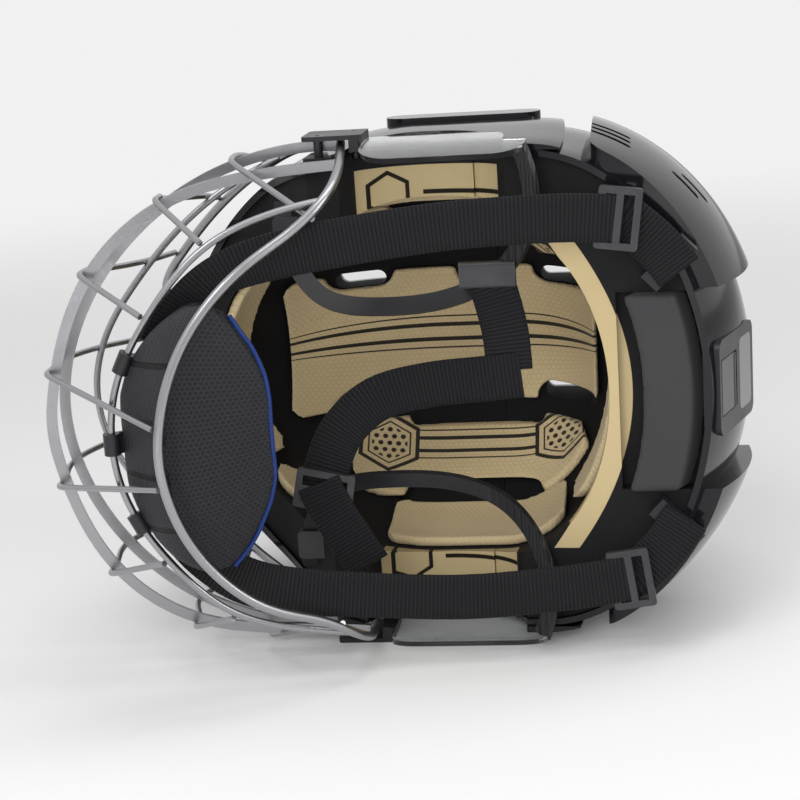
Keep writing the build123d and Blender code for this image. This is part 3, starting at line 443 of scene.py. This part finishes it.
# Darker in the grain's grooves: painted shade
band_paint.tint(grain.below(0.35, 0.2) * 0.6, (0.012, 0.012, 0.014))
slits = v.wrap(SLIT_PITCH).abs().below(SLIT_HALF, 0.3)
band_paint.bump(slits * -1, 0.8, 1.0)
# The slits are painted near black: painted shade in the slits
band_paint.tint(slits, (0.003, 0.003, 0.004))

piping_paint = Paint("cup_piping", (0.006, 0.030, 0.15), 0.45, Specular_IOR_Level=0.3)
piping_paint.bump(piping_paint.noise(0.6, 2), 0.05, 0.5)
piping_paint.tint(piping_paint.noise(9, 3) * 0.6, (0.010, 0.018, 0.10))

# Nodes that keep the part's own shape, with their paints
SIDES = ("left_", "right_")
looks = (
    (("front_shell", "rear_shell"), shell),
    (("front_foam", "rear_foam"), foam),
    ([s + "ear_guard" for s in SIDES], clear),
    ([s + "ear_loop" for s in SIDES] + ["cup_loops"], loop),
    ([s + "cage_clip" for s in SIDES] + [s + "brow_clip" for s in SIDES], clip_paint),
    ([s + "strap_anchor" for s in SIDES] + ["lever_housing"], clip_paint),
    ([s + "loop_clasp" for s in SIDES] + [s + "strap_slider" for s in SIDES], slider_paint),
    (("chin_slider", "chin_keeper"), slider_paint),
    (("size_lever",), lever_paint),
    (("badge_panel",), badge_paint),
    (("clip_screws", "brow_screws", "shell_screws", "lever_pin"), screw_paint),
    (("brow_wire", "eye_bar", "nose_bar", "mouth_bar"), steel),
    (("cup_bar", "chin_ring", "cage_wires"), steel),
)
for names, paint in looks:
    for name in names:
        held = nodes[name].data.materials
        if not held:
            held.append(paint.mat)
        for slot in nodes[name].material_slots:
            slot.link = "OBJECT"
            slot.material = paint.mat

# Small round edges on the moulded pieces, each with its width
EDGE_SEGMENTS, EDGE_ANGLE = 2, 40
CLIP_EDGE, LEVER_EDGE = 0.6, 0.5
clips = [s + part for part in ("brow_clip", "cage_clip") for s in SIDES]
levers = ["lever_housing", "size_lever"] + [s + "strap_anchor" for s in SIDES]
for names, width in ((clips, CLIP_EDGE), (levers, LEVER_EDGE)):
    for name in names:
        bevel = nodes[name].modifiers.new("edges", "BEVEL")
        bevel.width = width / MM_PER_M
        bevel.segments = EDGE_SEGMENTS
        bevel.limit_method = "ANGLE"
        bevel.angle_limit = math.radians(EDGE_ANGLE)


def new_piece(name, mesh, paint, body, stands_for=()):
    """A smooth piece that rides on a body, in place of the nodes that it stands for."""
    piece = bpy.data.objects.new(name, mesh)
    bpy.context.scene.collection.objects.link(piece)
    mesh.materials.clear()
    mesh.materials.append(paint.mat)
    for face in mesh.polygons:
        face.use_smooth = True
    if stands_for:
        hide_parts(*stands_for)
    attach(piece, body)
    return piece


def flatten(mesh, how):
    """Give every corner its place on the flat cut, in metres."""
    layer = mesh.uv_layers.new(name="flat")
    for corner in mesh.loops:
        layer.data[corner.index].uv = how(mesh.vertices[corner.vertex_index].co - SHIFT)


def baked(holder):
    """The mesh of an object with its modifiers applied. The object itself goes."""
    bpy.context.scene.collection.objects.link(holder)
    bpy.context.view_layer.update()
    graph = bpy.context.evaluated_depsgraph_get()
    mesh = bpy.data.meshes.new_from_object(holder.evaluated_get(graph))
    bpy.data.objects.remove(holder)
    return mesh


VOXEL = 1.5


def remeshed(node, passes):
    """The node's mesh in even small faces, with its edges rounded."""
    copy = bpy.data.objects.new("copy", nodes[node].data.copy())
    remesh = copy.modifiers.new("remesh", "REMESH")
    remesh.mode = "VOXEL"
    remesh.voxel_size = VOXEL / MM_PER_M
    smooth = copy.modifiers.new("smooth", "SMOOTH")
    smooth.factor = 0.5
    smooth.iterations = passes
    return baked(copy)


# The line along X and the line along Y that the pads are unrolled about, in metres
DOME_RADIUS, DOME_MIDDLE = 0.084, -0.010
BROW_RADIUS, BROW_MIDDLE = 0.080, -0.020
SIDE_PAD_Z, SIDE_PAD_Y = 0.056, 0.064
SIDE_MIDDLE = math.atan2(SIDE_PAD_Z, SIDE_PAD_Y - DOME_MIDDLE) * DOME_RADIUS


def over_dome(p):
    """Unrolled about a line along X, with the crown line at 0."""
    return p.x, math.atan2(p.z, p.y - DOME_MIDDLE) * DOME_RADIUS


def over_side(p):
    """Unrolled as over_dome, with either side pad's middle line at 0."""
    return p.x, math.atan2(abs(p.z), p.y - DOME_MIDDLE) * DOME_RADIUS - SIDE_MIDDLE


def round_head(p):
    """Unrolled about a line along Y, at the brow and at the nape."""
    return math.atan2(p.z, BROW_MIDDLE - p.x if p.x < 0 else p.x) * BROW_RADIUS, p.y


PAD_PASSES, CUP_PASSES = 3, 4
PAD_FILL, NAPE_FILL = 0.5, 0.8
pads = (
    ("crown_pad", crown_paint, over_dome, PAD_FILL),
    ("brow_pad", brow_paint, round_head, PAD_FILL),
    ("occipital_pad", edge_paint, round_head, PAD_FILL),
    ("left_side_pad", side_paint, over_side, PAD_FILL),
    ("right_side_pad", side_paint, over_side, PAD_FILL),
    ("left_temple_pad", plain_paint, over_dome, PAD_FILL),
    ("right_temple_pad", plain_paint, over_dome, PAD_FILL),
    ("left_ear_pad", plain_paint, over_dome, PAD_FILL),
    ("right_ear_pad", plain_paint, over_dome, PAD_FILL),
    ("nape_pad", nape_paint, round_head, NAPE_FILL),
)
for node, paint, how, fill in pads:
    mesh = remeshed(node, PAD_PASSES)
    flatten(mesh, how)
    piece = new_piece(node + "_foam", mesh, paint, body_of_node[node], (node,))
    "nape" if node == "nape_pad" else "pad"

LINE_STEPS = 6


def smooth_line(stations):
    """Points on a smooth line through the stations, each with all its numbers."""
    found = []
    last = len(stations) - 1
    for k in range(last):
        before, here, ahead, after = (
            stations[max(0, min(last, k + d))] for d in (-1, 0, 1, 2)
        )
        for step in range(LINE_STEPS):
            t = step / LINE_STEPS
            found.append(
                tuple(
                    0.5
                    * (
                        2 * b
                        + (c - a) * t
                        + (2 * a - 5 * b + 4 * c - d) * t * t
                        + (3 * b - a - 3 * c + d) * t**3
                    )
                    for a, b, c, d in zip(before, here, ahead, after)
                )
            )
    found.append(tuple(stations[last]))
    return found


# Webbing's size, and the slight wave that it lies in
WEB_WIDTH, WEB_WALL = 20.0, 1.5
WAVE_LIFT, WAVE_RUN = 0.25, 17.0
# The webbing's section: places across it, as shares of half its width, and the thinner
# edge that its two outermost places have
ACROSS = (-1, -0.96, -0.6, -0.2, 0.2, 0.6, 0.96, 1)
EDGE_SHARE = 0.45


def webbing(name, stations, body, stands_for=(), mirrored=False):
    """Flat webbing through stations of place and tilt, as in the part's source."""
    line = smooth_line(stations)
    if mirrored:
        line = [(x, y, -z, -tilt) for x, y, z, tilt in line]
    places = [Vector(s[:3]) for s in line]
    last = len(places) - 1
    top = [
        (WEB_WIDTH / 2 * s, WEB_WALL / 2 * (EDGE_SHARE if abs(s) == 1 else 1)) for s in ACROSS
    ]
    section = top + [(a, -b) for a, b in reversed(top)]
    verts, flat, run = [], [], 0.0
    for k, spot in enumerate(places):
        along = (places[min(k + 1, last)] - places[max(k - 1, 0)]).normalized()
        across = along.cross(Vector((0, 1, 0))).normalized()
        across = Matrix.Rotation(math.radians(line[k][3]), 3, along) @ across
        up = along.cross(across).normalized()
        if k:
            run += (spot - places[k - 1]).length
        lift = WAVE_LIFT * math.sin(run / WAVE_RUN)
        for a, b in section:
            verts.append(at(*(spot + across * a + up * (b + lift))))
            flat.append((a / MM_PER_M, run / MM_PER_M))
    count = len(section)
    faces = []
    for k in range(last):
        for i in range(count):
            j = (i + 1) % count
            here, ahead = k * count, (k + 1) * count
            faces.append((here + i, here + j, ahead + j, ahead + i))
    faces += [tuple(range(count))[::-1], tuple(range(last * count, (last + 1) * count))]
    mesh = bpy.data.meshes.new(name)
    mesh.from_pydata(verts, [], faces)
    layer = mesh.uv_layers.new(name="flat")
    for corner in mesh.loops:
        layer.data[corner.index].uv = flat[corner.vertex_index]
    piece = new_piece(name, mesh, web_paint, body, stands_for)


# Stations of X, Y, Z and tilt, as in the part's source
chin_down = (
    (12, -53.2, 55, 0),
    (16, -53.4, 42, 0),
    (19, -54, 27, 0),
    (20, -55, 11, 0),
)
chin_across = (
    (25, -55.5, 9, 0),
    (8, -55, 7.5, 0),
    (-15, -54, 5.5, 0),
    (-38, -54, 0, 0),
    (-54, -55, -13, 0),
    (-62, -56, -29, 0),
    (-64.5, -57, -41, 0),
)
chin_tail = (
    (-66, -60, -36, 0),
    (-62, -60.5, -46, 0),
    (-54, -61, -60, 0),
    (-46, -61, -74, 0),
)
cage_web = (
    (-118, -107.6, 38, 34),
    (-108, -104.6, 53, 36),
    (-93, -102.5, 65, 30),
    (-72, -99.5, 71.5, 13),
    (-40, -94, 76, 0),
    (0, -88, 79.5, 0),
    (40, -80, 79.5, 0),
    (62, -75.8, 78, 0),
    (71, -74, 77, 0),
)
anchor_web = (
    (63, -72.8, 79, 0),
    (72, -71.3, 76, 0),
    (84, -69, 65, 0),
    (93, -67.7, 53, 0),
)
webbing("chin_webbing_down", chin_down, "helmet_front", ("chin_strap",))
webbing("chin_webbing_across", chin_across, "helmet_front")
webbing("chin_webbing_tail", chin_tail, "helmet_front")
for side, mirrored in zip(SIDES, (False, True)):
    webbing(side + "cage_webbing", cage_web, "cage", (side + "cage_strap",), mirrored)
    webbing(side + "anchor_webbing", anchor_web, "cage", (side + "anchor_strap",), mirrored)

# Chin cup, unrolled about a line along X, in metres
CUP_ROLL = 0.118
cup = remeshed("chin_cup", CUP_PASSES)
flatten(cup, lambda p: (p.x, math.atan2(p.z, -p.y) * CUP_ROLL))
cup_piece = new_piece("chin_cup_mesh", cup, mesh_paint, "cage", ("chin_cup",))

# Blue piping along the cup's rear edge, from one tip to the other
CUP_MIDDLE = -3
PIPING_RADIUS, PIPING_SINK = 1.0, 0.6
RIM_STEPS, RIM_PITCH, RIM_NEAR = 12, 4.4, 2.0
rim = []
for step in range(-RIM_STEPS, RIM_STEPS + 1):
    level = at(0, 0, CUP_MIDDLE + step * RIM_PITCH).z
    near = [p.co for p in cup.vertices if abs(p.co.z - level) < RIM_NEAR / MM_PER_M]
    if near:
        spot = max(near, key=lambda p: p.x)
        rim.append((spot.x, spot.y - PIPING_SINK / MM_PER_M, level, 1))
curve = bpy.data.curves.new("cup_piping", "CURVE")
curve.dimensions = "3D"
curve.bevel_depth = PIPING_RADIUS / MM_PER_M
curve.bevel_resolution = 3
piping_line = curve.splines.new("NURBS")
piping_line.points.add(len(rim) - 1)
for point, place in zip(piping_line.points, rim):
    point.co = place
piping_line.use_endpoint_u = True
piping_line.order_u = 4
piping = baked(bpy.data.objects.new("cup_piping_line", curve))
new_piece("cup_piping", piping, piping_paint, "cage")

# Band over the cup's front, lifted off its mesh. Its rear edge is an arc, seen along Y,
# through the cup's tips and a place on the middle line.
TIP_X, TIP_REACH, BAND_X = -97.0, 58.0, -114.0
BAND_WALL, BAND_LIFT = 1.4, 0.2
bow = TIP_X - BAND_X
bow_radius = (bow * bow + TIP_REACH * TIP_REACH) / (2 * bow)


def on_band(face):
    place = (face.center - SHIFT) * MM_PER_M
    return place.x < BAND_X + bow_radius - math.sqrt(bow_radius**2 - (place.z - CUP_MIDDLE) ** 2)


picked = [face for face in cup.polygons if on_band(face)]
used = sorted({k for face in picked for k in face.vertices})
place_of = {k: n for n, k in enumerate(used)}
sheet = bpy.data.meshes.new("cup_band")
sheet.from_pydata(
    [cup.vertices[k].co + cup.vertices[k].normal * (BAND_LIFT / MM_PER_M) for k in used],
    [],
    [tuple(place_of[k] for k in face.vertices) for face in picked],
)
holder = bpy.data.objects.new("cup_band_sheet", sheet)
even = holder.modifiers.new("even", "SMOOTH")
even.iterations = 4
skin = holder.modifiers.new("skin", "SOLIDIFY")
skin.thickness = BAND_WALL / MM_PER_M
skin.offset = 1.0
band = baked(holder)
flatten(band, lambda p: (p.x, p.z))
new_piece("cup_front_band", band, band_paint, "cage")

# Floor, in metres. Far from the object the camera sees it as plain as the world.
GROUND_REACH, FAR_FROM, FAR_SOFT = 30, 0.95, 0.7
PALE = (0.88, 0.88, 0.88)
corners = [
    (-GROUND_REACH, -GROUND_REACH, 0),
    (GROUND_REACH, -GROUND_REACH, 0),
    (GROUND_REACH, GROUND_REACH, 0),
    (-GROUND_REACH, GROUND_REACH, 0),
]
floor_mesh = bpy.data.meshes.new("floor")
floor_mesh.from_pydata(corners, [], [(0, 1, 2, 3)])
floor = bpy.data.objects.new("floor", floor_mesh)
bpy.context.scene.collection.objects.link(floor)
ground = Paint("floor", (0.90, 0.90, 0.90), 0.9)
ground_tree = ground.tree
coords = ground_tree.nodes.new("ShaderNodeTexCoord")
reach = ground_tree.nodes.new("ShaderNodeVectorMath")
reach.operation = "LENGTH"
ground_tree.links.new(coords.outputs["Object"], reach.inputs[0])
far = Num(ground_tree, reach.outputs["Value"]).below(FAR_FROM, FAR_SOFT).turned()
path = ground_tree.nodes.new("ShaderNodeLightPath")
far = far * Num(ground_tree, path.outputs["Is Camera Ray"])
glow = ground_tree.nodes.new("ShaderNodeEmission")
glow.inputs["Color"].default_value = (*PALE, 1)
both = ground_tree.nodes.new("ShaderNodeMixShader")
ground_tree.links.new(far.out, both.inputs[0])
ground_tree.links.new(ground.shader.outputs[0], both.inputs[1])
ground_tree.links.new(glow.outputs[0], both.inputs[2])
ground_tree.links.new(both.outputs[0], ground_tree.nodes["Material Output"].inputs["Surface"])
floor_mesh.materials.append(ground.mat)

# World, dimmer as light on the object than as what is seen in it and behind it
LIT, SEEN = 0.4, 1.0
world = bpy.data.worlds.new("studio")
bpy.context.scene.world = world
world.use_nodes = True
world_tree = world.node_tree
back = world_tree.nodes["Background"]
back.inputs["Color"].default_value = (*PALE, 1)
path = world_tree.nodes.new("ShaderNodeLightPath")
seen = Num(world_tree, path.outputs["Is Camera Ray"])
for ray in ("Is Glossy Ray", "Is Transmission Ray"):
    seen = seen.larger(Num(world_tree, path.outputs[ray]))
world_tree.links.new(seen.spread(LIT, SEEN).out, back.inputs["Strength"])

# Lamps: place, size, power, and whether gloss shows them
AIM = Vector((0, 0, 0.1))
for name, place, size, power, shines in (
    ("fill", (-0.10, -1.45, 0.50), (1.1, 0.9), 16, False),
    ("key", (-0.5, -0.9, 1.3), (0.7, 0.7), 6, True),
    ("top", (0.4, 0.2, 1.6), (0.6, 1.4), 8, True),
    ("rim", (1.3, -0.3, 0.6), (0.25, 0.9), 4, True),
):
    light = bpy.data.lights.new(name, "AREA")
    light.shape = "RECTANGLE"
    light.size, light.size_y = size
    light.energy = power
    lamp = bpy.data.objects.new(name, light)
    lamp.location = place
    lamp.rotation_euler = (AIM - Vector(place)).to_track_quat("-Z", "Y").to_euler()
    lamp.visible_glossy = shines
    bpy.context.scene.collection.objects.link(lamp)

# Camera, solved from the photograph's outlines, in degrees and metres
PITCH, ROLL, YAW, AWAY = 13.93, -3.80, -8.26, 0.881
FOCUS_PIXELS, PHOTO_WIDTH, SENSOR = 1899, 800, 36
TARGET = at(-36.2, 0, -14.5)
upright = Matrix(((1, 0, 0), (0, 0, -1), (0, 1, 0)))
turn = (
    Matrix.Rotation(math.radians(ROLL), 3, "Z")
    @ Matrix.Rotation(math.radians(PITCH), 3, "X")
    @ upright
    @ Matrix.Rotation(math.radians(YAW), 3, "Z")
)
eye = TARGET - turn.transposed() @ Vector((0, 0, AWAY))
camera_data = bpy.data.cameras.new("camera")
camera_data.sensor_width = SENSOR
camera_data.lens = SENSOR * FOCUS_PIXELS / PHOTO_WIDTH
camera_data.clip_start = 0.01
camera = bpy.data.objects.new("camera", camera_data)
bpy.context.scene.collection.objects.link(camera)
camera_axes = Matrix((turn[0], -turn[1], -turn[2])).transposed()
camera.matrix_world = Matrix.Translation(eye) @ camera_axes.to_4x4()
bpy.context.scene.camera = camera
bpy.context.scene.view_settings.view_transform = "Standard"
